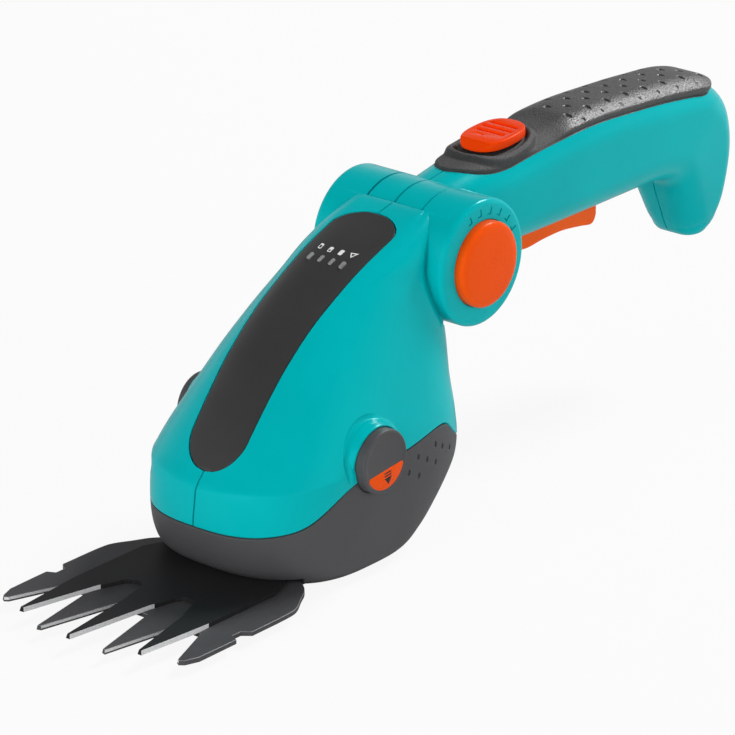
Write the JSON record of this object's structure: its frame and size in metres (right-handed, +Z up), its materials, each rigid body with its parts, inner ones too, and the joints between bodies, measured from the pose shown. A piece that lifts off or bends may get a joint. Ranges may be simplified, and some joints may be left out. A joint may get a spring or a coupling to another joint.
{
  "type": "cordless grass shears",
  "caption": "Cordless grass shears: a rounded drive pod over toothed comb blades, and a looped handle that tilts on a hinge drum, with trigger, thumb lock and spring buttons.",
  "frame": {"origin": "on the flat sole, under the drive gear's axis", "axes": "+X to the tool's left, -Y forward over the blades, +Z up"},
  "size_m": [0.085, 0.3493, 0.1227],
  "materials": {
    "teal_plastic": "satin",
    "dark_plastic": "fine texture",
    "soft_grip": "soft, grained",
    "orange_plastic": "satin",
    "lamp": "clear",
    "board": "matt",
    "cell_wrap": "wrapped",
    "motor_steel": "plated",
    "steel": "plated",
    "plate_alloy": "milled",
    "gear_plastic": "natural",
    "brass": "turned",
    "black_blade": "coated",
    "grey_blade": "coated",
    "black_plastic": "matt"
  },
  "bodies": {
    "pod": {"base_pan": "dark_plastic", "housing_left": "teal_plastic", "housing_right": "teal_plastic", "display_panel": "dark_plastic", "led_lenses": "lamp", "display_board": "board", "battery_cell": "cell_wrap", "battery_cradle": "dark_plastic", "motor": "motor_steel", "motor_plate": "plate_alloy", "plate_screws": "steel", "gear_axle": "steel", "control_board": "board", "housing_screws": "steel", "blade_carrier": "dark_plastic", "lower_blade": "grey_blade", "blade_pivot": "steel", "release_spring_left": "steel", "release_spring_right": "steel", "hinge_bolt": "steel", "hinge_nut": "steel", "hinge_spring_left": "steel", "hinge_spring_right": "steel"},
    "gear": {"drive_gear": "gear_plastic", "crank_pin": "steel"},
    "rotor": {"motor_shaft": "steel", "motor_pinion": "brass"},
    "cutter": {"upper_blade": "black_blade"},
    "release_l": {"release_button_left": "dark_plastic", "release_mark_left": "orange_plastic"},
    "release_r": {"release_button_right": "dark_plastic", "release_mark_right": "orange_plastic"},
    "hinge_button_l": {"hinge_button_left": "orange_plastic"},
    "hinge_button_r": {"hinge_button_right": "orange_plastic"},
    "handle": {"handle_left": "teal_plastic", "handle_right": "teal_plastic", "grip_pad": "soft_grip", "detent_ring": "brass", "handle_screws": "steel", "micro_switch": "black_plastic", "charge_socket": "black_plastic", "trigger_pin": "steel", "thumb_spring": "steel", "trigger_spring": "steel"},
    "trigger": {"trigger": "orange_plastic"},
    "thumb": {"thumb_lock": "orange_plastic"}
  },
  "joints": [
    {"name": "handle_tilt", "type": "hinge", "parent": "pod", "child": "handle", "pos_m": [0, 0.0676, 0.0913], "axis": [1, 0, 0], "range_deg": [-15, 45]},
    {"name": "blade_swing", "type": "hinge", "parent": "pod", "child": "cutter", "pos_m": [0, -0.0338, 0.005], "axis": [0, 0, 1], "range_deg": [-8, 8]},
    {"name": "gear_spin", "type": "hinge", "parent": "pod", "child": "gear", "pos_m": [0, 0, 0.012], "axis": [0, 0, 1], "continuous": true},
    {"name": "pinion_spin", "type": "hinge", "parent": "pod", "child": "rotor", "pos_m": [0, 0.024, 0.012], "axis": [0, 0, 1], "continuous": true},
    {"name": "release_left_press", "type": "slide", "parent": "pod", "child": "release_l", "axis": [-1, 0, 0], "range_m": [0, 0.0022], "stiffness_N_per_m": 900, "springref_m": -0.002, "deforming": ["release_spring_left"]},
    {"name": "release_right_press", "type": "slide", "parent": "pod", "child": "release_r", "axis": [1, 0, 0], "range_m": [0, 0.0022], "stiffness_N_per_m": 900, "springref_m": -0.002, "deforming": ["release_spring_right"]},
    {"name": "hinge_left_press", "type": "slide", "parent": "pod", "child": "hinge_button_l", "axis": [-1, 0, 0], "range_m": [0, 0.0025], "stiffness_N_per_m": 900, "springref_m": -0.002, "deforming": ["hinge_spring_left"]},
    {"name": "hinge_right_press", "type": "slide", "parent": "pod", "child": "hinge_button_r", "axis": [1, 0, 0], "range_m": [0, 0.0025], "stiffness_N_per_m": 900, "springref_m": -0.002, "deforming": ["hinge_spring_right"]},
    {"name": "trigger_pull", "type": "hinge", "parent": "handle", "child": "trigger", "pos_m": [0, 0.1036, 0.0883], "axis": [1, 0, 0], "range_deg": [0, 4.5], "stiffness_Nm_per_rad": 0.8, "springref_deg": -8.59, "deforming": ["trigger_spring"]},
    {"name": "thumb_slide", "type": "slide", "parent": "handle", "child": "thumb", "axis": [0, -0.9976, -0.0698], "range_m": [0, 0.003], "stiffness_N_per_m": 500, "springref_m": -0.002, "deforming": ["thumb_spring"]}
  ],
  "couplings": [
    {"joint": "pinion_spin", "follows": "gear_spin", "ratio": -4}
  ]
}
